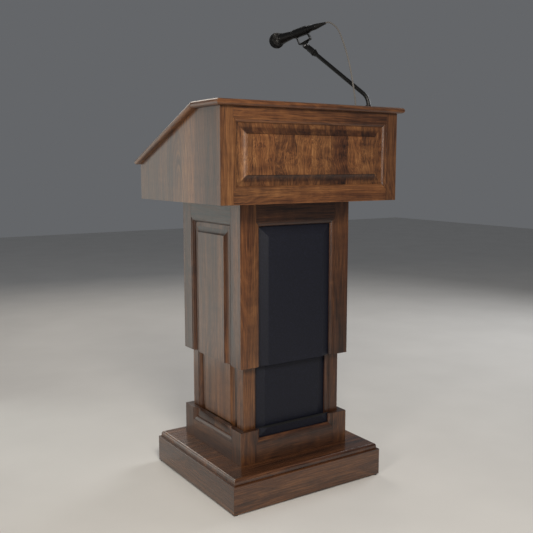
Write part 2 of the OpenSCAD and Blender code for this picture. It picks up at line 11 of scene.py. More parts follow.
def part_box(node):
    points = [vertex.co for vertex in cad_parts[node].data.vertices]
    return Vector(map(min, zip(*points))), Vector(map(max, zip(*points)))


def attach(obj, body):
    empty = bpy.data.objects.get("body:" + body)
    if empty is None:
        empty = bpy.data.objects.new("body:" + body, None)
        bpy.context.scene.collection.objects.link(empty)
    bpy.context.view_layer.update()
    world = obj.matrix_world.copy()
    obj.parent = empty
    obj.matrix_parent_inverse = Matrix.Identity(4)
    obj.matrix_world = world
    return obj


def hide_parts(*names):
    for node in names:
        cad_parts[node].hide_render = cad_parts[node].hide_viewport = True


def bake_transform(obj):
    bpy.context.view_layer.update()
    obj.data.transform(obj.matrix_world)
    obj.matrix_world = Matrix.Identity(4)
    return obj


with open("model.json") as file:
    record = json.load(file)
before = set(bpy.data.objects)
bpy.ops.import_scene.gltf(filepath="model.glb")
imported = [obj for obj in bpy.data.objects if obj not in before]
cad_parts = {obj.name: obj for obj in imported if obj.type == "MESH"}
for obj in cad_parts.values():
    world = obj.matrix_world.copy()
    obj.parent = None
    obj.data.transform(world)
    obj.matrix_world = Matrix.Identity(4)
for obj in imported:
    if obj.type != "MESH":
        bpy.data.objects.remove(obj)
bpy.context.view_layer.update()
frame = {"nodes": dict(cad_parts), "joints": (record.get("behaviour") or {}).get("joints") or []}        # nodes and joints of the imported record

MM = 0.001
DRAW = random.Random(11)
X, Y, Z = Vector((1, 0, 0)), Vector((0, 1, 0)), Vector((0, 0, 1))


# ----- short calls used throughout -----

def around(count):
    """Angles of so many points spread evenly round a circle."""
    return [math.tau * k / count for k in range(count)]


def rotate(degrees, axis):
    return Matrix.Rotation(math.radians(degrees), 4, axis)


def shift(place):
    return Matrix.Translation(place)


def spun(place, along, radius, angle):
    """A point at so much along X of place, and so far from it at an angle."""
    return place @ Vector((along, radius * math.sin(angle), radius * math.cos(angle)))


def in_scene(name, data):
    """A new object in the scene, for this mesh, camera or lamp."""
    data.name = name
    made = bpy.data.objects.new(name, data)
    bpy.context.scene.collection.objects.link(made)
    return made


# ----- camera -----

CAMERA_AT = (-1.3525, -2.0655, 1.0375)
CAMERA_DIP, CAMERA_TURN = 7.746, 33.225          # degrees
CAMERA_LENS, CAMERA_SENSOR = 50.36, 36           # millimetres


def make_camera():
    data = bpy.data.cameras.new("camera")
    data.sensor_width = CAMERA_SENSOR
    data.lens = CAMERA_LENS
    camera = in_scene("camera", data)
    camera.location = CAMERA_AT
    camera.rotation_euler = (math.radians(90 - CAMERA_DIP), 0, math.radians(-CAMERA_TURN))
    bpy.context.scene.camera = camera


# ----- shader helper -----

class Shader:
    """A material's node tree, with a short call for each node used here."""

    def __init__(self):
        self.material = bpy.data.materials.new("look")
        self.material.use_nodes = True
        self.tree = self.material.node_tree
        self.tree.nodes.clear()
        self.bsdf = self.node("BsdfPrincipled")
        output = self.node("OutputMaterial")
        self.tree.links.new(self.bsdf.outputs[0], output.inputs[0])

    def put(self, socket, value):
        if isinstance(value, bpy.types.NodeSocket):
            self.tree.links.new(value, socket)
        else:
            socket.default_value = value

    def node(self, kind, inputs=None, **settings):
        made = self.tree.nodes.new("ShaderNode" + kind)
        for key, value in settings.items():
            setattr(made, key, value)
        for key, value in (inputs or {}).items():
            self.put(made.inputs[key], value)
        return made

    def attribute(self, name, output):
        return self.node("Attribute", attribute_name=name).outputs[output]

    def position(self):
        return self.node("TexCoord").outputs["Object"]

    def math(self, operation, a, b=0):
        return self.node("Math", {0: a, 1: b}, operation=operation).outputs[0]

    def vary(self, value, part, weight):
        """value, moved by how far part is from one half, times weight."""
        return self.math("ADD", value, self.math("MULTIPLY", self.math("SUBTRACT", part, 0.5), weight))

    def vector(self, operation, a, b=(0, 0, 0), output="Vector"):
        return self.node("VectorMath", {0: a, 1: b}, operation=operation).outputs[output]

    def split(self, vector):
        return self.node("SeparateXYZ", {0: vector}).outputs

    def join(self, x, y, z):
        return self.node("CombineXYZ", {0: x, 1: y, 2: z}).outputs[0]

    def noise(self, vector, per_metre, detail=2, rough=0.5, output="Fac"):
        """Noise with a density given along each of the vector's three directions."""
        scaled = self.vector("MULTIPLY", vector, per_metre)
        inputs = {"Vector": scaled, "Scale": 1, "Detail": detail, "Roughness": rough}
        return self.node("TexNoise", inputs).outputs[output]

    def fade(self, value, low, high, start=0, end=1):
        inputs = {0: value, 1: low, 2: high, 3: start, 4: end}
        return self.node("MapRange", inputs, interpolation_type="SMOOTHSTEP").outputs[0]

    def ramp(self, value, stops):
        made = self.node("ValToRGB", {0: value})
        while len(made.color_ramp.elements) < len(stops):
            made.color_ramp.elements.new(0.5)
        for element, (place, colour) in zip(made.color_ramp.elements, stops):
            element.position = place
            element.color = (*colour, 1)
        return made.outputs[0]

    def mix(self, share, a, b, how="MIX"):
        made = self.node("Mix", data_type="RGBA", blend_type=how)
        self.put(made.inputs[0], share)
        for socket, value in ((made.inputs[6], a), (made.inputs[7], b)):
            self.put(socket, (*value, 1) if isinstance(value, tuple) else value)
        return made.outputs[2]

    def bump(self, height, distance, strength=1):
        inputs = {"Height": height, "Distance": distance, "Strength": strength}
        return self.node("Bump", inputs).outputs[0]

    def finish(self, **sockets):
        for name, value in sockets.items():
            socket = self.bsdf.inputs[name.replace("_", " ")]
            self.put(socket, (*value, 1) if isinstance(value, tuple) and len(value) == 3 else value)
        return self.material


def srgb(*values):
    """A colour given as 0 to 255 screen values, as the linear numbers that shaders use."""
    return tuple(((v / 255 + 0.055) / 1.055) ** 2.4 if v > 10 else v / 255 / 12.92 for v in values)


# ----- materials -----

def walnut(staves=0, wave=5 * MM, run=2.6, short=1, shade=0, rough=0.36, coat=0.2,
           curl=0.2, rings=0.5, flecks=0.5, end=0.75, pores=0.6, mixed=0.22):
    """Lacquered walnut. The grain attribute runs along the fibres, across them and into the
    board; fibre is their direction; tone lightens or darkens a board, and carries painted
    light and shade too: fronts lighter towards the left, shaded rails, stages and skirts darker.
    staves is the width of the boards glued side by side, wave how far the grain wanders and
    run how often, short how many times shorter its streaks are, curl the share of cross
    figure, rings and flecks the contrast of the growth rings and flecks, end how much darker
    cut fibre ends are, pores the depth of the open pores, and mixed how much the staves
    differ in tone."""
    s = Shader()
    grain = s.attribute("grain", "Vector")
    tone = s.attribute("tone", "Fac")
    glue = 0
    if staves:
        across = s.math("DIVIDE", s.split(grain)[1], staves)
        cell = {"W": across, "Scale": 1, "Randomness": 0.7}
        stave = s.node("TexVoronoi", cell, voronoi_dimensions="1D")
        edge = s.node("TexVoronoi", cell, voronoi_dimensions="1D", feature="DISTANCE_TO_EDGE")
        own = s.split(stave.outputs["Color"])
        offset = s.join(s.math("MULTIPLY", own[0], 31), s.math("MULTIPLY", own[1], 0.06), 0)
        grain = s.vector("ADD", grain, offset)
        tone = s.vary(tone, own[2], mixed)
        glue = s.fade(edge.outputs["Distance"], 0.004, 0.012, 1, 0)
    # The fibres wander slowly along the board
    drift = s.noise(grain, (run, 7, 7), output="Color")
    drift = s.vector("SUBTRACT", drift, (0.5, 0.5, 0.5))
    bent = s.vector("ADD", grain, s.vector("MULTIPLY", drift, (0, 2 * wave, 2 * wave)))
    x, y, z = s.split(bent)
    # Growth rings of uneven width round a heart that rises and falls under the face
    heart = s.split(s.noise(s.join(x, 0, 0), (1.6, 1, 1), 1, output="Color"))
    side = s.math("MULTIPLY", s.math("SUBTRACT", heart[0], 0.5), 0.12)
    deep = s.math("MULTIPLY", s.math("SUBTRACT", heart[1], 0.15), 0.16)
    arm = s.join(s.math("SUBTRACT", y, side), s.math("ADD", z, deep), 0)
    radius = s.vector("LENGTH", arm, output="Value")
    ring = s.noise(s.join(s.math("MULTIPLY", x, 0.004), radius, 0), (1, 210, 1), 3, 0.62)
    # Broad heartwood streaks, fine fibre, long open pores and a faint cross curl
    streak = s.noise(bent, (1.2 * short, 30, 30), 3, 0.6)
    fleck = s.noise(bent, (7, 250, 250), 3, 0.6)
    broad = s.noise(bent, (0.8, 7, 7), 1)
    fibre = s.fade(s.noise(bent, (9, 520, 520), 3, 0.65), 0.32, 0.68)
    pore = s.fade(s.noise(bent, (42, 1100, 1100), 1), 0.58, 0.72)
    cross = s.noise(bent, (34, 9, 9), 2, 0.6)
    # tone, set per board, holds painted light and shade as well as the board's own tone
    value = s.math("ADD", 0.46 + shade, tone)
    for part, weight in ((ring, rings), (streak, 0.75), (broad, 0.45), (fleck, flecks),
                         (fibre, 0.26), (cross, curl)):
        value = s.vary(value, part, weight)
    colour = s.ramp(value, [(0, srgb(33, 19, 13)), (0.30, srgb(76, 47, 29)),
                            (0.58, srgb(120, 80, 47)), (1, srgb(172, 126, 80))])
    red = s.fade(s.noise(bent, (1.1, 13, 13), 1), 0.35, 0.75, 0, 0.6)
    colour = s.mix(red, colour, (1, 0.84, 0.78), "MULTIPLY")
    # Fibre ends, where the face looks along the fibres, are darker and mottled
    normal = s.node("NewGeometry").outputs["Normal"]
    facing = s.vector("DOT_PRODUCT", normal, s.attribute("fibre", "Vector"), "Value")
    mottle = s.fade(s.noise(bent, (40, 55, 55)), 0.3, 0.7, 0.75 * end, min(1, 1.2 * end))
    cut = s.math("MULTIPLY", s.fade(s.math("ABSOLUTE", facing), 0.01, 0.12), mottle)
    dark = s.math("MAXIMUM", s.math("MULTIPLY", pore, 0.7), cut)
    if staves:
        dark = s.math("MAXIMUM", dark, s.math("MULTIPLY", glue, 0.45))
    colour = s.mix(dark, colour, (0.22, 0.17, 0.15), "MULTIPLY")
    gloss = s.math("ADD", s.vary(rough, fibre, 0.08), s.math("MULTIPLY", pore, 0.12))
    height = s.math("SUBTRACT", s.math("MULTIPLY", fibre, 0.35), s.math("MULTIPLY", pore, 0.8))
    return s.finish(Base_Color=colour, Roughness=gloss, Normal=s.bump(height, 0.05 * MM, pores),
                    Coat_Weight=coat, Coat_Roughness=0.16)


def cloth():
    """Black loudspeaker cloth: a fine plain weave with uneven threads."""
    s = Shader()
    grain = s.attribute("grain", "Vector")
    thread = 0.75 * MM
    warp, weft = (s.math("SINE", s.math("MULTIPLY", way, math.tau / thread)) for way in s.split(grain)[:2])
    weave = s.math("MULTIPLY", warp, weft)
    slub = s.noise(grain, (160, 700, 700), 2, 0.6)
    slub = s.math("ADD", slub, s.noise(grain, (700, 160, 700), 2, 0.6))
    speck = s.noise(grain, (420, 420, 420), 2, 0.7)
    value = s.vary(s.math("MULTIPLY", slub, 0.5), speck, 0.8)
    colour = s.ramp(value, [(0.25, srgb(7, 9, 15)), (0.5, srgb(13, 15, 27)), (0.8, srgb(32, 35, 54))])
    height = s.math("ADD", s.math("MULTIPLY", weave, 0.5), slub)
    return s.finish(Base_Color=colour, Roughness=0.55, Normal=s.bump(height, 0.08 * MM, 0.7),
                    Specular_IOR_Level=0.35, Sheen_Weight=0.05, Sheen_Roughness=0.5,
                    Sheen_Tint=srgb(135, 150, 190))


def moulded(colour, rough, grit=0.10 * MM, spread=0.25, shine=0.5):
    """Moulded plastic or rubber with a fine texture, grit deep and with so much spread in tone."""
    s = Shader()
    place = s.position()
    spots = s.noise(place, (900, 900, 900), 3, 0.6)
    cloud = s.noise(place, (30, 30, 30))
    value = s.math("ADD", s.math("MULTIPLY", spots, 0.5), s.math("MULTIPLY", cloud, 0.5))
    low = tuple(c * (1 - spread) for c in colour)
    high = tuple(min(1, c * (1 + spread)) for c in colour)
    tint = s.ramp(value, [(0.35, low), (0.65, high)])
    return s.finish(Base_Color=tint, Roughness=s.vary(rough, cloud, 0.2),
                    Normal=s.bump(spots, grit, 0.5), Specular_IOR_Level=shine)


def metal(colour, rough):
    """Bare metal with fine level lines, as turned or drawn."""
    s = Shader()
    lines = s.noise(s.position(), (30, 30, 1800), 3, 0.65)
    cloud = s.noise(s.position(), (14, 14, 14), 3, 0.6)
    dull = s.vary(s.vary(rough, lines, 0.35), cloud, 0.2)
    tint = s.mix(s.fade(cloud, 0.35, 0.7), colour, tuple(c * 0.8 for c in colour))
    return s.finish(Base_Color=tint, Metallic=1, Roughness=dull, Normal=s.bump(lines, 0.03 * MM, 0.5))


def enamel(colour, rough, peel, coat, shine=0.5):
    """Painted metal with the faint orange peel, so deep, of a sprayed or baked coat."""
    s = Shader()
    skin = s.noise(s.position(), (600, 600, 600))
    cloud = s.noise(s.position(), (25, 25, 25), 3, 0.6)
    tint = s.mix(s.fade(cloud, 0.3, 0.7), colour, tuple(c * 0.7 for c in colour))
    return s.finish(Base_Color=tint, Roughness=s.vary(rough, cloud, 0.15), Normal=s.bump(skin, peel, 0.4),
                    Coat_Weight=coat, Coat_Roughness=0.1, Specular_IOR_Level=shine)


def foam():
    """Open foam behind the microphone's mesh."""
    s = Shader()
    cells = s.node("TexVoronoi", {"Vector": s.position(), "Scale": 900})
    tint = s.ramp(cells.outputs["Distance"], [(0.1, srgb(6, 6, 6)), (0.8, srgb(16, 16, 17))])
    return s.finish(Base_Color=tint, Roughness=0.95, Normal=s.bump(cells.outputs["Distance"], 0.3 * MM))


def floor_paint():
    """Pale matt floor with faint clouds."""
    s = Shader()
    cloud = s.noise(s.position(), (3, 3, 3), 3)
    tint = s.ramp(cloud, [(0.3, (0.70, 0.69, 0.67)), (0.7, (0.74, 0.73, 0.71))])
    return s.finish(Base_Color=tint, Roughness=0.85)


# ----- mesh helpers -----

def show(name, mesh, look, body, node, sharp=30):
    """A finished piece: a look, smooth shading with weighted normals, a body and the CAD node
    that it replaces."""
    piece = in_scene(name, mesh)
    mesh.materials.append(LOOK[look])
    mesh.shade_smooth()
    mesh.set_sharp_from_angle(angle=math.radians(sharp))
    weighted = piece.modifiers.new("normals", "WEIGHTED_NORMAL")
    weighted.keep_sharp = True
    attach(piece, body)
    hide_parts(node)
    return piece


def mesh_of(verts, faces):
    mesh = bpy.data.meshes.new("mesh")
    mesh.from_pydata([tuple(v) for v in verts], [], faces)
    mesh.validate()
    return mesh


class Boards:
    """Boards gathered into one mesh, each with its own direction of grain, start and tone, the tone also
    holding painted light and shade.
    """

    def __init__(self):
        self.verts, self.faces, self.grain, self.fibre, self.tone = [], [], [], [], []

    def add(self, verts, faces, along, out, tone=0):
        """along is the direction of the fibres, and out points out of the board's show face."""
        u, w = Vector(along).normalized(), Vector(out).normalized()
        v = w.cross(u)
        across = [p.dot(v) for p in verts]
        mid, face = (min(across) + max(across)) / 2, max(p.dot(w) for p in verts)
        start = Vector((DRAW.uniform(-40, 40), DRAW.uniform(-0.03, 0.03), DRAW.uniform(-0.01, 0)))
        tone += DRAW.uniform(-0.05, 0.05)
        first = len(self.verts)
        for p in verts:
            self.verts.append(p)
            self.grain.append(Vector((p.dot(u), p.dot(v) - mid, p.dot(w) - face)) + start)
            self.fibre.append(u)
            self.tone.append(tone)
        self.faces += [[first + i for i in f] for f in faces]

    def mesh(self):
        mesh = mesh_of(self.verts, self.faces)
        for key, vectors in (("grain", self.grain), ("fibre", self.fibre)):
            layer = mesh.attributes.new(key, "FLOAT_VECTOR", "POINT")
            layer.data.foreach_set("vector", [c for v in vectors for c in v])
        tone = mesh.attributes.new("tone", "FLOAT", "POINT")
        tone.data.foreach_set("value", self.tone)
        return mesh


def solids(node):
    """A CAD node's solids, one welded bmesh each, with their flat faces made whole."""
    whole = bmesh.new()
    whole.from_mesh(frame["nodes"][node].data)
    bmesh.ops.remove_doubles(whole, verts=whole.verts, dist=2e-6)
    bmesh.ops.dissolve_limit(whole, angle_limit=math.radians(0.5), verts=whole.verts, edges=whole.edges)
    whole.verts.ensure_lookup_table()
    seen, made = set(), []
    for seed in whole.verts:
        if seed.index in seen:
            continue
        seen.add(seed.index)
        island, queue = [], [seed]
        while queue:
            vert = queue.pop()
            island.append(vert)
            for edge in vert.link_edges:
                other = edge.other_vert(vert)
                if other.index not in seen:
                    seen.add(other.index)
                    queue.append(other)
        one = bmesh.new()
        copy = {v.index: one.verts.new(v.co) for v in sorted(island, key=lambda v: v.index)}
        for face in sorted({f for v in island for f in v.link_faces}, key=lambda f: f.index):
            one.faces.new([copy[v.index] for v in face.verts])
        one.normal_update()
        made.append(one)
    whole.free()
    return made


def ease(bm, width):
    """Rounds every arris sharper than 25 degrees by width."""
    sharp = math.radians(25)
    edges = [e for e in bm.edges if len(e.link_faces) == 2 and e.calc_face_angle(0) > sharp]
    bmesh.ops.bevel(bm, geom=edges, offset=width, segments=2, profile=0.5, affect="EDGES",
                    clamp_overlap=True)


def parts_of(bm):
    """Verts and faces of a bmesh."""
    bm.verts.index_update()
    return [v.co.copy() for v in bm.verts], [[v.index for v in f.verts] for f in bm.faces]


def timber(name, node, body, look, out, along=None, tone=0, arris=0.7 * MM, painted_light_lean=0, rail_tone_and_shade=0):
    """A node made of boards, with eased arrises and grain along each board's length. lean is
    painted light: how much lighter the boards are for each metre along X, lighter towards the
    lit left. rails is how much lighter the level ones are, which on the sleeve's front is
    painted shadow from the desk above."""
    boards = Boards()
    for bm in solids(node):
        verts = [v.co for v in bm.verts]
        size = [max(p[i] for p in verts) - min(p[i] for p in verts) for i in range(3)]
        run = along or [(1, 0, 0), (0, 1, 0), (0, 0, 1)][size.index(max(size))]
        middle = (min(p.x for p in verts) + max(p.x for p in verts)) / 2
        rail = 0 if run[2] else rail_tone_and_shade
        ease(bm, arris)
        boards.add(*parts_of(bm), run, out, tone + rail + painted_light_lean * middle)
        bm.free()
    show(name, boards.mesh(), look, body, node)


def rings_mesh(rings):
    """Verts and faces of rings joined one to the next, with both ends filled."""
    count = len(rings[0])
    verts = [Vector(p) for ring in rings for p in ring]
    faces = []
    for i in range(len(rings) - 1):
        for k in range(count):
            a, b = i * count + k, i * count + (k + 1) % count
            faces.append([a, b, b + count, a + count])
    faces.append(list(range(count))[::-1])
    faces.append([(len(rings) - 1) * count + k for k in range(count)])
    return verts, faces


def turned(outline, place, sides=48, ribs=None):
    """Verts and faces of a turned piece: outline in millimetres as (radius, distance along the
    axis), turned about X of its matrix. ribs = (number, depth, from, to) cuts grip ribs."""
    rings = []
    for radius, along in outline:
        ring = []
        for t in around(sides):
            r = max(radius, 0.01)
            if ribs and ribs[2] <= along <= ribs[3]:
                r -= ribs[1] * (0.5 - 0.5 * math.cos(ribs[0] * t))
            ring.append(spun(place, along * MM, r * MM, t))
        rings.append(ring)
    return rings_mesh(rings)


def joined(*pieces):
    """One mesh of several (verts, faces) pairs, with its faces turned outwards."""
    verts, faces = [], []
    for more_verts, more_faces in pieces:
        faces += [[len(verts) + i for i in f] for f in more_faces]
        verts += more_verts
    mesh = mesh_of(verts, faces)
    clean = bmesh.new()
    clean.from_mesh(mesh)
    bmesh.ops.recalc_face_normals(clean, faces=clean.faces)
    clean.to_mesh(mesh)
    clean.free()
    return mesh


def lathe(name, outline, place, look, body, node, sides=48, sharp=30, ribs=None):
    """A turned piece that replaces a node."""
    show(name, joined(turned(outline, place, sides, ribs)), look, body, node, sharp)


def stamped(outline, low, high, place, arris):
    """Verts and faces of an outline (x, z) that reaches from low to high along Y, all of it in
    millimetres, with its arrises eased."""
    corners = [Vector((x, 0, z)) for x, z in outline]
    mid = sum(corners, Vector()) / len(corners)
    eased_by = 1 - arris / max((corner - mid).length for corner in corners)
    rings = []
    for y, scale in ((low, eased_by), (low + arris, 1), (high - arris, 1), (high, eased_by)):
        rings.append([place @ (MM * (mid + (corner - mid) * scale + Y * y)) for corner in corners])
    return rings_mesh(rings)


def eased(name, node, look, body, arris=0.5 * MM):
    """A CAD node with its sharp arrises rounded."""
    pieces = []
    for bm in solids(node):
        ease(bm, arris)
        pieces.append(parts_of(bm))
        bm.free()
    show(name, joined(*pieces), look, body, node)


def smooth_path(points, steps):
    """A Catmull-Rom curve through points, with steps pieces between two of them."""
    points = [points[0], *points, points[-1]]
    path = []
    for p, q, r, s in zip(points, points[1:], points[2:], points[3:]):
        for t in (k / steps for k in range(steps)):
            path.append(0.5 * (2 * q + (r - p) * t + (2 * p - 5 * q + 4 * r - s) * t * t
                               + (3 * q - p - 3 * r + s) * t ** 3))
    return path + [points[-1]]


def directions(path):
    """The direction of a path at each of its points."""
    padded = [path[0], *path, path[-1]]
    return [(after - before).normalized() for before, after in zip(padded, padded[2:])]


def tube_mesh(path, radius, sides):
    """Verts and faces of a tube along a path."""
    rings, normal = [], None
    for point, ahead in zip(path, directions(path)):
        if normal is None:
            normal = ahead.orthogonal().normalized()
        normal = (normal - ahead * normal.dot(ahead)).normalized()
        other = ahead.cross(normal)
        rings.append([point + radius * (math.cos(a) * normal + math.sin(a) * other) for a in around(sides)])
    return rings_mesh(rings)


# ----- microphone cable -----

CABLE_R = 2.4 * MM
CABLE_ROUTE = [Vector(p) * MM for p in (
    (206, -201, 1222), (206, -201, 1232), (206, -199.5, 1244), (206, -196, 1260),
    (206, -190.5, 1281), (206, -184, 1306), (206, -176.5, 1332), (206, -168, 1358),
    (206, -157.5, 1384), (206, -145, 1411), (206, -130, 1439), (206.5, -113, 1465),
    (207, -98, 1480), (207, -84, 1490), (206, -73, 1496.5), (204.5, -63, 1501),
    (202.3, -55, 1501.6), (200.5, -50.5, 1500.7))]


def make_cable():
    path = smooth_path(CABLE_ROUTE, 6)
    cable = in_scene("mic_cable_skin", mesh_of(*tube_mesh(path, CABLE_R, 16)))
    cable.data.materials.append(LOOK["cable"])
    cable.data.shade_smooth()
    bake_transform(cable)
    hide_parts("mic_cable")
    return cable, path


# ----- joinery -----

OUTWARD = {"front": -Y, "back": Y, "left": -X, "right": X}
SIDE_OPEN = 115 * MM             # half the width of the openings in the left and right frames
# How far a panel's tongue goes in, and the depths of its front, its back and the panel's back
TONGUE, GROOVE, TONGUE_BACK, PANEL_BACK = 8 * MM, 10 * MM, 16 * MM, 18.5 * MM
# Depth of a panel's field, the step up to it, the width of the border and the quirk between
FIELD, STEP, BEVEL, QUIRK = 1 * MM, 2.2 * MM, 31 * MM, 0.7 * MM


def side_matrix(side, half_w, half_d, centre_y):
    """Puts a face drawn on the XZ plane, with +Y inward, on one side of a box."""
    places = {"front": (0, (0, centre_y - half_d, 0)), "back": (180, (0, centre_y + half_d, 0)),
              "left": (-90, (-half_w, centre_y, 0)), "right": (90, (half_w, centre_y, 0))}
    turn, place = places[side]
    return shift(place) @ rotate(turn, "Z")


# The back of each panel's outline, as (inset, depth), up to its tongue
REAR = [(0.5 * MM, PANEL_BACK), (0.5 * MM, TONGUE_BACK), (-TONGUE, TONGUE_BACK)]


def cove():
    """Outline of a raised panel's border, (inset, depth) from its back edge to its field."""
    low, high = 9.5 * MM, FIELD + STEP
    outline = REAR + [(-TONGUE, GROOVE)]
    steps = 12
    for i in range(steps + 1):
        t = i / steps
        outline.append((t * (BEVEL - QUIRK), low - (low - high) * (0.35 * t + 0.65 * t ** 4)))
    return outline + [(BEVEL - QUIRK / 2, high + QUIRK), (BEVEL, high), (BEVEL, FIELD + 0.5 * MM),
                      (BEVEL + 0.5 * MM, FIELD)]


def bordered(place, half, low, high, closed, outline):
    """Verts and faces of a panel whose outline runs round its closed sides. A panel too low for
    its borders is made taller and then cut off at its open top."""
    widest = max(inset for inset, _ in outline)
    full = max(high, low + 2 * widest)
    rings = []
    for inset, depth in outline:
        z0 = low + inset if closed[0] else low
        z1 = full - inset if closed[1] else full
        rings.append([(-half + inset, depth, z0), (half - inset, depth, z0),
                      (half - inset, depth, z1), (-half + inset, depth, z1)])
    verts, faces = rings_mesh(rings)
    if full > high:
        whole = bmesh.new()
        whole.from_mesh(mesh_of(verts, faces))
        cut = bmesh.ops.bisect_plane(whole, geom=[*whole.verts, *whole.edges, *whole.faces],
                                     plane_co=(0, 0, high), plane_no=Z, clear_outer=True)
        rim = [e for e in cut["geom_cut"] if isinstance(e, bmesh.types.BMEdge)]
        bmesh.ops.contextual_create(whole, geom=rim)
        verts, faces = parts_of(whole)
    return [place @ v for v in verts], faces


def raised_panel(name, place, half, low, high, closed, body, look, node, tone=0):
    boards = Boards()
    boards.add(*bordered(place, half, low, high, closed, cove()), Z, place.to_3x3() @ -Y, tone)
    show(name, boards.mesh(), look, body, node, 9)


def grille(name, place, half, low, high, closed, body, node):
    """A board with bevelled edges and the cloth stretched over it."""
    skin, edge = 0.6 * MM, 13 * MM
    slope = [(-TONGUE, edge), (0, edge), (1 * MM, edge - 0.2 * MM), (BEVEL - 1 * MM, FIELD + 0.5 * MM),
             (BEVEL, FIELD + 0.2 * MM), (BEVEL + 1.2 * MM, FIELD)]
    under = [(a, d + skin) for a, d in slope]
    board = mesh_of(*bordered(place, half, low, high, closed, REAR + under))
    back = show(name + "_board", board, "black_board", body, node)
    sheet = Boards()
    sheet.add(*bordered(place, half, low, high, closed, slope[::-1] + under), Z, place.to_3x3() @ -Y)
    front = show(name + "_sheet", sheet.mesh(), "grille_cloth", body, node, 12)


def slab(name, place, half_w, length, thick, mitre, ends, node, tone):
    """A board with a round nose on its sides and on one end. Its other end is cut at the angle
    mitre to meet its neighbour. It runs along Y of its matrix, mid-thickness at Z = 0."""
    nose, steps = thick / 2, 14
    rings = []
    for i in range(steps + 1):
        a = math.pi * (i / steps - 0.5)
        inset, z = nose * (1 - math.cos(a)), nose * math.sin(a)
        cut = z * math.tan(mitre)
        y0 = inset if ends == "start" else cut
        y1 = length - cut if ends == "start" else length - inset
        rings.append([(-half_w + inset, y0, z), (half_w - inset, y0, z), (half_w - inset, y1, z),
                      (-half_w + inset, y1, z)])
    verts, faces = rings_mesh(rings)
    verts = [place @ v for v in verts]
    turn = place.to_3x3()
    nose_faces = faces[:-2]
    boards = Boards()
    boards.add(*only(verts, faces[-2:]), X, turn @ Z, tone)
    for k, (along, out) in enumerate(((X, -Y), (Y, X), (X, Y), (Y, -X))):
        boards.add(*only(verts, nose_faces[k::4]), turn @ along, turn @ out, tone)
    show(name, boards.mesh(), "walnut", "desk", node, 20)


def only(verts, faces):
    """The given faces with just the verts that they use."""
    used = sorted({i for f in faces for i in f})
    at = {old: new for new, old in enumerate(used)}
    return [verts[i] for i in used], [[at[i] for i in f] for f in faces]


# ----- woodwork -----

FRAME_ARRIS = 0.35 * MM
READING_SLOPE = 22               # degrees


def column():
    """Collar, inner column and sleeve: framed boards, raised panels and cloth."""
    outer_lo, outer_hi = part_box("sleeve_left_frame")[0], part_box("sleeve_right_frame")[1]
    inner_lo, inner_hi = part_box("inner_left_frame")[0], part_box("inner_right_frame")[1]
    centre_y = (outer_lo.y + outer_hi.y) / 2
    stages = {"collar": ("base", outer_lo, outer_hi, (True, False)),
              "inner": ("base", inner_lo, inner_hi, (True, True)),
              "sleeve": ("desk", outer_lo, outer_hi, (False, True))}
    # Tone of each stage; the sleeve's and the collar's are lowered as painted shade, the sleeve's under the
    # desk
    tones_and_shade = {"collar": -0.16, "inner": -0.09, "sleeve": -0.18}
    # Level boards of each front; the sleeve's -0.22 is painted shadow on its top rail under the desk's
    # overhang
    front_rail_tone_and_shade = {"collar": -0.09, "inner": -0.12, "sleeve": -0.22}
    for stage, (body, lo, hi, closed) in stages.items():
        half_w, half_d = (hi.x - lo.x) / 2, (hi.y - lo.y) / 2
        panels, cloth_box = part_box(stage + "_panels"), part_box(stage + "_grille")
        bottom = panels[0].z + (TONGUE if closed[0] else 0)
        top = panels[1].z - (TONGUE if closed[1] else 0)
        wide = (cloth_box[1].x - cloth_box[0].x) / 2 - TONGUE
        for side in OUTWARD:
            place = side_matrix(side, half_w, half_d, centre_y)
            # Front boards get painted light, lighter towards the left; other sides' level boards are darker
            painted_light_lean, rail_tone_and_shade = (-0.6, front_rail_tone_and_shade[stage]) if side == "front" else (0, -0.10)
            timber(f"{stage}_{side}_boards", f"{stage}_{side}_frame", body, "walnut",
                   place.to_3x3() @ -Y, tone=tones_and_shade[stage], arris=FRAME_ARRIS, painted_light_lean=painted_light_lean, rail_tone_and_shade=rail_tone_and_shade)
            if side == "front":
                grille(stage + "_cloth", place, wide, bottom, top, closed, body, stage + "_grille")
            else:
                half = wide if side == "back" else SIDE_OPEN
                raised_panel(f"{stage}_{side}_panel", place, half, bottom, top, closed, body,
                             "walnut_panel", stage + "_panels", tones_and_shade[stage])


def base():
    """Plinth: four skirt boards and the deck."""
    # Skirt tones; the left and right skirts are darker as painted shade on the sides
    tones_and_shade = {"front": -0.10, "back": -0.10, "left": -0.18, "right": -0.14}
    for side, tone in tones_and_shade.items():
        timber(f"skirt_{side}_board", f"skirt_{side}", "base", "walnut_base", OUTWARD[side], tone=tone)
    timber("deck_board", "base_deck", "base", "walnut_base", Z, along=X, tone=-0.12, arris=0.4 * MM)


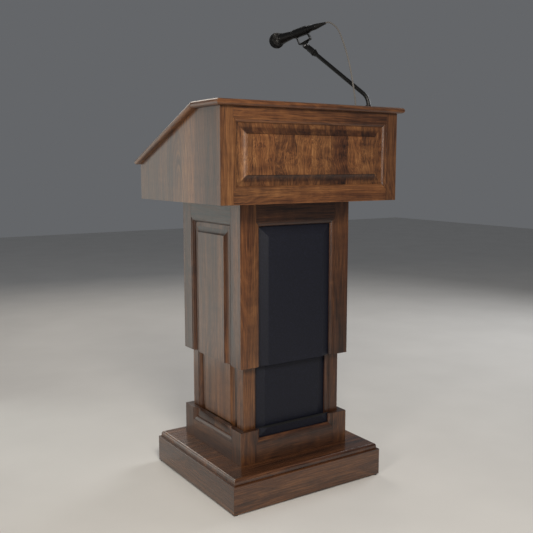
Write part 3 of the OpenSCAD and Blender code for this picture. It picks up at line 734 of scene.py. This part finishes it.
def desk():
    """Desk box, its raised panel, the flat top and the reading board."""
    # lean paints light on the desk front: its boards are lighter towards the left
    timber("desk_front_boards", "desk_front_frame", "desk", "walnut", -Y, arris=FRAME_ARRIS,
           painted_light_lean=-0.5, rail_tone_and_shade=-0.04)
    lo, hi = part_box("desk_front_panel")
    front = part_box("desk_front_frame")[0].y
    place = shift((0, front, 0))
    raised_panel("desk_raised_panel", place, (hi.x - lo.x) / 2 - TONGUE, lo.z + TONGUE, hi.z - TONGUE,
                 (True, True), "desk", "walnut_figured", "desk_front_panel", -0.04)
    for side in ("left", "right"):
        timber(f"desk_{side}_board", f"desk_{side}_side", "desk", "walnut_side", OUTWARD[side],
               along=Z, tone=-0.09)
    timber("desk_floor_board", "desk_floor", "desk", "walnut", Z, along=X)
    timber("desk_rear_board", "desk_rear_rail", "desk", "walnut", Y, along=X)
    timber("paper_stop_batten", "paper_stop", "desk", "walnut", Y, along=X, arris=2 * MM)
    top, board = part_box("desk_top"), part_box("reading_board")
    thick = top[1].z - top[0].z
    slope = math.radians(READING_SLOPE)
    half_w = (top[1].x - top[0].x) / 2
    joint_y = top[1].y - thick / 2 * math.tan(slope / 2)
    flat = shift((0, top[0].y, top[0].z + thick / 2))
    slab("top_board", flat, half_w, joint_y - top[0].y, thick, -slope / 2, "start", "desk_top", -0.05)
    run = (board[1].y - thick / 2 - joint_y) / math.cos(slope) + thick / 2
    tilted = shift((0, joint_y, top[0].z + thick / 2)) @ rotate(-READING_SLOPE, "X")
    slab("sloped_board", tilted, half_w, run, thick, -slope / 2, "end", "reading_board", -0.07)


# ----- microphone -----

NECK_RISE, MIC_DIP = 37.5, 11.3          # degrees
NECK_R, NECK_BEND, NECK_FOOT = 6.5 * MM, 50 * MM, 9 * MM
BARREL = 42                              # millimetres from the clip's pivot to the gooseneck
MIC_UP = 51 * MM                         # from the clip's pivot up to the microphone's axis
HANDLE_END, HEAD_AT, HEAD_R, HEAD_BAND = 93 * MM, 111 * MM, 26 * MM, 2.2 * MM


def upward(point):
    """X of this matrix points up from the point."""
    return shift(point) @ rotate(-90, "Y")


def backward(point):
    """X of this matrix points to the back of the desk."""
    return shift(point) @ rotate(90, "Z")


def at_pivot(dip):
    """The microphone's upright plane: X towards the head, dipped by so many degrees, and Z up."""
    hinge = next(j for j in frame["joints"] if j["name"] == "mic_tilt")
    axis = Vector(hinge["axis"])
    turn = Matrix((Vector((-axis.y, axis.x, 0)), -axis, Z)).transposed().to_4x4()
    return shift(hinge["pos_m"]) @ turn @ rotate(dip, "Y")


def mic_axis():
    """X of this matrix is the microphone's axis."""
    return at_pivot(MIC_DIP) @ shift((0, 0, MIC_UP))


def foot_of(node):
    """The middle of the bottom of a node."""
    lo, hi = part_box(node)
    return Vector(((lo.x + hi.x) / 2, (lo.y + hi.y) / 2, lo.z))


def gooseneck():
    """Upright foot, one bend and a straight rise to the clip, with a ribbed nut at the top."""
    foot, steps = foot_of("mic_flange"), 16
    rise = at_pivot(-NECK_RISE)
    ahead = (rise.to_3x3() @ X * Vector((1, 1, 0))).normalized()
    turn = math.radians(90 - NECK_RISE)
    start = foot + NECK_FOOT * Z
    path = [foot]
    for i in range(steps + 1):
        a = turn * i / steps
        path.append(start + NECK_BEND * ((1 - math.cos(a)) * ahead + math.sin(a) * Z))
    path.append(rise @ Vector((-BARREL * MM, 0, 0)))
    show("gooseneck_tube", joined(tube_mesh(path, NECK_R, 32)), "black_metal", "desk", "gooseneck", 40)
    low, high = -BARREL - 9, -BARREL
    nut = [(6.5, low), (8.2, low), (8.6, low + 0.5), (8.6, high - 0.5), (8.2, high), (6.5, high)]
    ribs = (24, 0.5, low + 0.4, high - 0.4)
    lathe("gooseneck_nut", nut, rise, "black_metal", "desk", "gooseneck", 96, ribs=ribs)


def screw_head(place, radius, height):
    """Verts and faces of a domed screw head with a six-sided socket. X of place points out."""
    rings = []
    for share, along in ((1, 0), (1, 0.35), (0.93, 0.7), (0.75, 0.92), (0.62, 1)):
        rings.append([spun(place, along * height, share * radius, t) for t in around(24)])
    sixth = math.pi / 3
    socket = [0.5 * radius * math.cos(sixth / 2) / math.cos(t % sixth - sixth / 2) for t in around(24)]
    for along in (1, 0.35):
        rings.append([spun(place, along * height, r, t) for r, t in zip(socket, around(24))])
    return rings_mesh(rings)


def flange():
    """Round foot of the gooseneck, with three screws."""
    foot = foot_of("mic_flange")
    outline = [(6.5, 0), (21.6, 0), (22, 0.5), (22, 3), (21.2, 3.8), (20.4, 4), (12.5, 4), (11, 4.5),
               (10.2, 5.6), (10, 7), (10, 9.2), (9.2, 10), (6.5, 10)]
    lathe("flange_plate", outline, upward(foot), "black_metal", "desk", "mic_flange", 72)
    circle, heads = 15.5 * MM, []
    for angle in (30, 150, 270):
        a = math.radians(angle)
        spot = foot + Vector((circle * math.cos(a), circle * math.sin(a), 4 * MM))
        heads.append(screw_head(upward(spot), 2.8 * MM, 1.8 * MM))
    show("flange_screws", joined(*heads), "steel", "desk", "mic_flange", 25)


def grommet():
    """Rubber bush that the cable goes down through."""
    outline = [(2.5, 0), (10, 0), (10, 0.8), (9.6, 1.5), (8.4, 2), (7.9, 2.8), (7.2, 3.6), (6.2, 4),
               (2.5, 4)]
    lathe("cable_bush", outline, upward(foot_of("cable_grommet")), "rubber", "desk",
          "cable_grommet")


def mic_head():
    """Woven wire over foam, in two halves with a ring between them."""
    place = mic_axis() @ shift((HEAD_AT, 0, 0))
    pitch, wire, wave = 1.9 * MM, 0.33 * MM, 0.16 * MM
    wires = []
    for swap in (False, True):
        for k in range(-12, 13):
            off = k * pitch
            radius = math.sqrt(HEAD_R ** 2 - off ** 2)
            start = math.acos(min(1, HEAD_BAND / radius))
            path = []
            for i in range(29):
                t = start * (i / 14 - 1)
                lift = wave * math.cos(math.pi * radius * math.sin(t) / pitch) * (-1) ** (k + swap)
                ring = radius - wire + lift
                y, z = (off, ring * math.sin(t)) if swap else (ring * math.sin(t), off)
                path.append(place @ Vector((ring * math.cos(t), y, z)))
            wires.append(tube_mesh(path, wire, 4))
    count, back = 42, HANDLE_END - HEAD_AT
    for way in (-1, 1):
        for k in range(count):
            path = []
            for i in range(10):
                x = back + (-HEAD_BAND - back) * i / 9
                a = math.tau * k / count + way * 0.55 * i / 9
                r = math.sqrt(HEAD_R ** 2 - x ** 2) - wire + way * wave * 0.6
                path.append(place @ Vector((x, r * math.cos(a), r * math.sin(a))))
            wires.append(tube_mesh(path, wire, 4))
    show("head_mesh", joined(*wires), "mic_mesh", "mic", "mic_head", 60)
    inside = HEAD_R / MM - 1.1
    ball = [(math.sin(a) * inside, -math.cos(a) * inside)
            for a in (math.radians(44 + 136 * i / 24) for i in range(25))]
    lathe("head_foam", ball, place, "mic_foam", "mic", "mic_head", 64, 60)
    band = [(25, -2.2), (26.3, -2.2), (26.7, -1.7), (26.7, -0.5), (26.4, -0.3), (26.4, 0.3), (26.7, 0.5),
            (26.7, 1.7), (26.3, 2.2), (25, 2.2)]
    lathe("head_band", band, place, "mic_metal", "mic", "mic_head", 72)


def mic_handle():
    """Tapered handle with a ring at its middle and a collar under the head."""
    outline = [(9.7, -14), (9.7, -25), (10.9, -25), (11.4, -24.6), (11.6, -24), (11.6, -21.4),
               (11.2, -21), (11.2, -20.2), (11.7, -19.8), (12.5, 40), (12.9, 40.4), (13.1, 41.2),
               (13.1, 43.8), (12.9, 44.6), (12.6, 45), (12.9, 48), (15.3, 68), (17.4, 85), (17.4, 85.6),
               (18.4, 86), (18.8, 86.6), (18.8, 89.2), (18.4, 89.6), (18.4, 90.2), (18.8, 90.6),
               (18.8, 92.6), (18.4, 93), (0, 93)]
    lathe("handle_body", outline, mic_axis(), "mic_metal", "mic", "mic_handle", 64)


def connector():
    """Cable connector: a shell with grip ribs, a ringed boot and a latch."""
    shell = [(0, -12), (9.3, -12), (9.3, -25.4), (9.5, -25.8), (9.5, -32), (9.1, -32.4), (9.1, -33.2),
             (9.5, -33.6), (9.5, -35), (9.5, -36), (9.5, -47), (9.5, -48), (9.3, -49.4), (8.8, -50.4),
             (0, -50.4)]
    lathe("connector_shell", shell, mic_axis(), "connector", "mic", "xlr_connector", 120,
          ribs=(20, 0.5, -47, -36))
    boot = [(0, -49), (8.5, -49), (8.6, -52)]
    for i in range(6):
        u, r = -55 - 4.2 * i, 8.3 - 0.62 * i
        boot += [(r, u + 1.3), (r + 0.1, u - 0.7), (r - 0.9, u - 1.2), (r - 0.9, u - 2.2)]
    boot += [(4.6, -79.5), (4.2, -84), (3.8, -86.6), (3.2, -87), (0, -87)]
    lathe("connector_boot", boot, mic_axis(), "rubber", "mic", "xlr_connector")
    latch = [(-34, 8.5), (-26.4, 8.5), (-26.4, 9.9), (-28, 10.5), (-32.5, 10.5), (-34, 9.8)]
    latch = stamped(latch, -2.6, 2.6, mic_axis(), 0.5)
    show("connector_latch", joined(latch), "steel", "mic", "xlr_connector")


def rounded_path(points, radius, steps=6):
    """A path through points in a plane, with its inner corners rounded."""
    path = [points[0]]
    for before, corner, after in zip(points, points[1:], points[2:]):
        a, b = (before - corner).normalized(), (after - corner).normalized()
        reach = radius / math.tan(a.angle(b) / 2)
        p, q = corner + a * reach, corner + b * reach
        for t in (i / steps for i in range(steps + 1)):
            path.append((1 - t) ** 2 * p + 2 * t * (1 - t) * corner + t * t * q)
    return path + [points[-1]]


def strap(path, width, thick, place):
    """Verts and faces of a flat strap along a path in the XZ plane."""
    half, flat, cut = width / 2, thick / 2, 0.3 * thick
    right = [(half - cut, -flat), (half, cut - flat), (half, flat - cut), (half - cut, flat)]
    section = right + [(-y, z) for y, z in reversed(right)]
    rings = []
    for point, ahead in zip(path, directions(path)):
        up = ahead.cross(Y)
        rings.append([place @ (point + Y * y + up * z) for y, z in section])
    return rings_mesh(rings)


def arc_points(radius, first, last, steps):
    """Points of an arc in the XZ plane, its angles in degrees from Z towards X."""
    angles = [math.radians(first + (last - first) * i / steps) for i in range(steps + 1)]
    return [(radius * math.sin(a), radius * math.cos(a)) for a in angles]


def mic_clip():
    """A springy C-shaped clip on two bent legs, and the lug under them that the pin goes through."""
    start, end, inner, outer, lip = -15 * MM, 38 * MM, 12.75 * MM, 15 * MM, 0.5 * MM
    gap, axis = math.radians(30), mic_axis()
    arc = [gap + (math.tau - 2 * gap) * i / 48 for i in range(49)]
    rings = []
    for x, trim in ((start, lip), (start + lip, 0), (end - lip, 0), (end, lip)):
        ring = [(outer - trim, a) for a in arc] + [(inner + trim, a) for a in reversed(arc)]
        rings.append([spun(axis, x, r, a) for r, a in ring])
    plane = at_pivot(MIC_DIP)
    legs = [(29.6, 0, 39), (22.6, 0, 10.4), (-22.6, 0, 18.6), (-13.4, 0, 39)]
    legs = rounded_path([Vector(p) * MM for p in legs], 4 * MM)
    lug = arc_points(7, 100, 260, 16) + [(-6, 14), (6, 12.4)]
    rib = [(-16, 16), (16, 10.5), (5.5, 5), (-5.5, 5)]
    mesh = joined(rings_mesh(rings), strap(legs, 14 * MM, 4 * MM, plane),
                  stamped(lug, -5.8, 5.8, plane, 0.6), stamped(rib, -1.6, 1.6, plane, 0.4))
    show("clip_body", mesh, "clip_plastic", "mic", "mic_clip")


def clip_barrel():
    """Socket on the gooseneck: a ribbed barrel with two ears for the pin."""
    rise = at_pivot(-NECK_RISE)
    outline = [(6.6, -42.4), (11, -42.4), (11.5, -41.9), (11.5, -37.6), (11, -37.1), (10, -36.8),
               (10, -35), (9.6, -34.6), (9.6, -33.8), (10, -33.4), (10, -15.5), (9.2, -13.6), (0, -13)]
    barrel = turned(outline, rise, 96, (32, 0.45, -41.9, -37.6))
    ear = arc_points(8, 0, 180, 20) + [(-8, -7.6), (-15, -6.4), (-15, 6.4), (-8, 7.6)]
    ears = [stamped(ear, low, low + 4, rise, 0.6) for low in (-10, 6)]
    show("clip_socket", joined(barrel, *ears), "clip_plastic", "desk", "clip_barrel")


def clip_pin():
    """Pin through the ears and the lug, with a screw head at each end."""
    plane = at_pivot(0)
    heads = []
    for way in (-1, 1):
        out = plane @ shift(10.1 * MM * way * Y) @ rotate(90 * way, "Z")
        heads.append(screw_head(out, 5 * MM, 3 * MM))
    pin = [(0, -10.4), (2.5, -10.4), (2.5, 10.4), (0, 10.4)]
    pin = turned(pin, plane @ rotate(90, "Z"), 24)
    show("clip_pin", joined(pin, *heads), "dark_steel", "desk", "clip_screw", 25)


# ----- controls -----

def upright_bar(half_width, low, high):
    """Outline of a printed bar, given in millimetres."""
    return [(-half_width, low), (half_width, low), (half_width, high), (-half_width, high)]


def controls():
    """Panel with its marks, screws and jack, the knob, the rockers and the mains inlet."""
    plate, knob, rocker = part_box("control_plate"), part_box("volume_knob"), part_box("lift_rocker")
    face = plate[1].y
    eased("control_panel", "control_plate", "painted_steel", "desk")
    middle = Vector(((knob[0].x + knob[1].x) / 2, face, (knob[0].z + knob[1].z) / 2))
    grip = [(0, -13.5), (3, -13.5), (3, 0.5), (10.2, 0.5), (11, 1), (11, 3.2), (10.4, 3.6), (10.2, 4),
            (9.8, 13), (9.4, 13.9), (8.6, 14.5), (7.4, 14.5), (6.9, 14.1), (0, 14.1)]
    lathe("volume_grip", grip, backward(middle), "black_plastic", "volume", "volume_knob",
          144, ribs=(24, 0.5, 4, 13))
    dial = shift(middle)
    line = stamped(upright_bar(0.5, 4.5, 8.9), 14, 14.5, dial, 0.1)
    show("volume_line", joined(line), "white_print", "volume", "volume_knob")
    printed = (-0.05, 0.12)
    marks = []
    for i in range(11):
        tick = upright_bar(0.35, 13.4, 17.4 if i in (0, 5, 10) else 16.2)
        marks.append(stamped(tick, *printed, dial @ rotate(-150 + 30 * i, "Y"), 0.04))
    for way in (1, -1):
        spot = Vector(((rocker[0].x + rocker[1].x) / 2, face, middle.z + way * 18.5 * MM))
        arrow = [(-2.4, -1.4 * way), (2.4, -1.4 * way), (0, 2.2 * way)]
        marks.append(stamped(arrow, *printed, shift(spot), 0.04))
    show("panel_marks", joined(*marks), "white_print", "desk", "control_plate")
    ring = [(3.25, -0.2), (3.25, 1.9), (3.6, 2.3), (4.4, 2.3), (4.7, 1.9), (4.7, 1.4), (6.2, 1.4),
            (6.5, 1.1), (6.5, 0), (6.3, -0.2)]
    lathe("jack_nut", ring, backward((plate[0].x + 20 * MM, face, middle.z)), "steel", "desk",
          "control_plate", sharp=25)
    heads, margin = [], 6 * MM
    for x in (plate[0].x + margin, plate[1].x - margin):
        for z in (plate[0].z + margin, plate[1].z - margin):
            heads.append(screw_head(backward((x, face - 0.1 * MM, z)), 2.9 * MM, 1.9 * MM))
    show("panel_screws", joined(*heads), "steel", "desk", "control_plate", 25)
    eased("power_button", "power_rocker", "black_plastic", "power")
    eased("updown_button", "lift_rocker", "grey_plastic", "updown")
    eased("amplifier_box", "amplifier_case", "painted_steel", "desk", 0.6 * MM)
    eased("inlet_shell", "power_inlet", "black_plastic", "base")


# ----- lights, floor and sky -----

def make_light(name, place, target, size, watts, colour, spread=180):
    """A rectangular lamp at place, facing target."""
    data = bpy.data.lights.new(name, "AREA")
    data.shape = "RECTANGLE"
    data.size, data.size_y = size
    data.energy = watts
    data.color = colour
    data.spread = math.radians(spread)
    lamp = in_scene(name, data)
    lamp.location = place
    lamp.rotation_euler = (Vector(target) - Vector(place)).to_track_quat("-Z", "Y").to_euler()
    lamp.visible_camera = False


def studio():
    floor = in_scene("floor", mesh_of([(-9, -9, 0), (9, -9, 0), (9, 9, 0), (-9, 9, 0)], [[0, 1, 2, 3]]))
    floor.data.materials.append(LOOK["floor_paint"])
    world = bpy.data.worlds.new("world")
    world.use_nodes = True
    sky = world.node_tree.nodes["Background"]
    sky.inputs["Color"].default_value = (0.80, 0.83, 0.88, 1)
    sky.inputs["Strength"].default_value = 0.16
    bpy.context.scene.world = world
    bpy.context.scene.view_settings.view_transform = "Standard"
    make_light("key", (-0.85, -1.75, 2), (0, 0, 0.75), (0.5, 0.6), 31, (1, 0.93, 0.82))
    make_light("strip", (-0.63, -2.2, 1.15), (-0.1, -0.28, 0.9), (0.14, 1.3), 6, (1, 0.95, 0.88))
    make_light("left_panel", (-0.95, 1.15, 0.70), (-0.1, 0, 0.70), (0.64, 1.36), 1.75, (0.96, 1, 0.93),
               spread=120)
    make_light("edge", (-2.4, -1.3, 1.4), (0, 0, 0.75), (0.5, 1), 19, (1, 0.92, 0.84))
    make_light("right", (3.2, 0.6, 2.2), (0, 0, 0.8), (1.5, 1.5), 38, (1, 1, 1))
    make_light("rear", (0.5, 3.2, 2.6), (0, 0, 0.8), (1.8, 1.5), 28, (1, 0.92, 0.82))


# ----- everything together -----

LOOK = {
    "walnut": walnut(),
    "walnut_side": walnut(wave=14 * MM, curl=0.15, rings=0.9, flecks=0.3),
    "walnut_panel": walnut(staves=90 * MM, wave=6 * MM),
    "walnut_figured": walnut(staves=62 * MM, wave=60 * MM, run=5, short=4, curl=0.55, flecks=0.7,
                             end=0.92, mixed=0.15),
    "walnut_base": walnut(shade=-0.05, rough=0.26, coat=0.5, rings=0.7, flecks=0.2, curl=0.1, end=0,
                          pores=0.25),
    "grille_cloth": cloth(),
    "black_board": moulded(srgb(16, 16, 17), 0.8),
    "black_plastic": moulded(srgb(24, 24, 26), 0.45),
    "grey_plastic": moulded(srgb(70, 71, 74), 0.5),
    "clip_plastic": moulded(srgb(9, 9, 10), 0.42, 0.05 * MM, shine=0.3),
    "white_print": moulded(srgb(205, 205, 200), 0.6, 0.02 * MM, 0.05),
    "rubber": moulded(srgb(12, 12, 12), 0.65, shine=0.35),
    "cable": moulded(srgb(98, 95, 92), 0.8, 0.004 * MM, 0.12),
    "steel": metal((0.52, 0.53, 0.55), 0.35),
    "dark_steel": metal((0.16, 0.16, 0.17), 0.4),
    "brass": metal((0.72, 0.52, 0.24), 0.3),
    "black_metal": enamel(srgb(6, 6, 6), 0.40, 0.01 * MM, 0.05, 0.3),
    "painted_steel": enamel(srgb(52, 53, 56), 0.45, 0.1 * MM, 0),
    "mic_metal": enamel(srgb(9, 9, 10), 0.42, 0.05 * MM, 0.02, 0.3),
    "mic_mesh": enamel(srgb(12, 12, 13), 0.4, 0.01 * MM, 0.02, 0.35),
    "connector": enamel(srgb(12, 12, 13), 0.35, 0.02 * MM, 0.08, 0.35),
    "mic_foam": foam(),
    "floor_paint": floor_paint(),
}
for name, material in LOOK.items():
    material.name = name

# CAD nodes that stay as they are, under the look that each has
PLAIN = {"rubber": ["glides"],
         "steel": ["lift_foot_plate", "lift_bolts", "lift_outer_tube", "lift_screw", "lift_inner_tube",
                   "lift_head_plate"],
         "black_metal": ["lift_motor"],
         "brass": ["lift_nut"],
         "black_board": ["speaker_baffle"],
         "black_plastic": ["woofer", "tweeter"]}

make_camera()
CABLE, PATH = make_cable()
studio()
for piece in (base, column, desk, flange, gooseneck, clip_barrel, clip_pin, mic_clip, mic_handle, mic_head,
              connector, grommet, controls):
    piece()
for key, plain in PLAIN.items():
    for node in plain:
        data = frame["nodes"][node].data
        data.materials.clear()
        data.materials.append(LOOK[key])
        data.polygons.foreach_set("material_index", [0] * len(data.polygons))
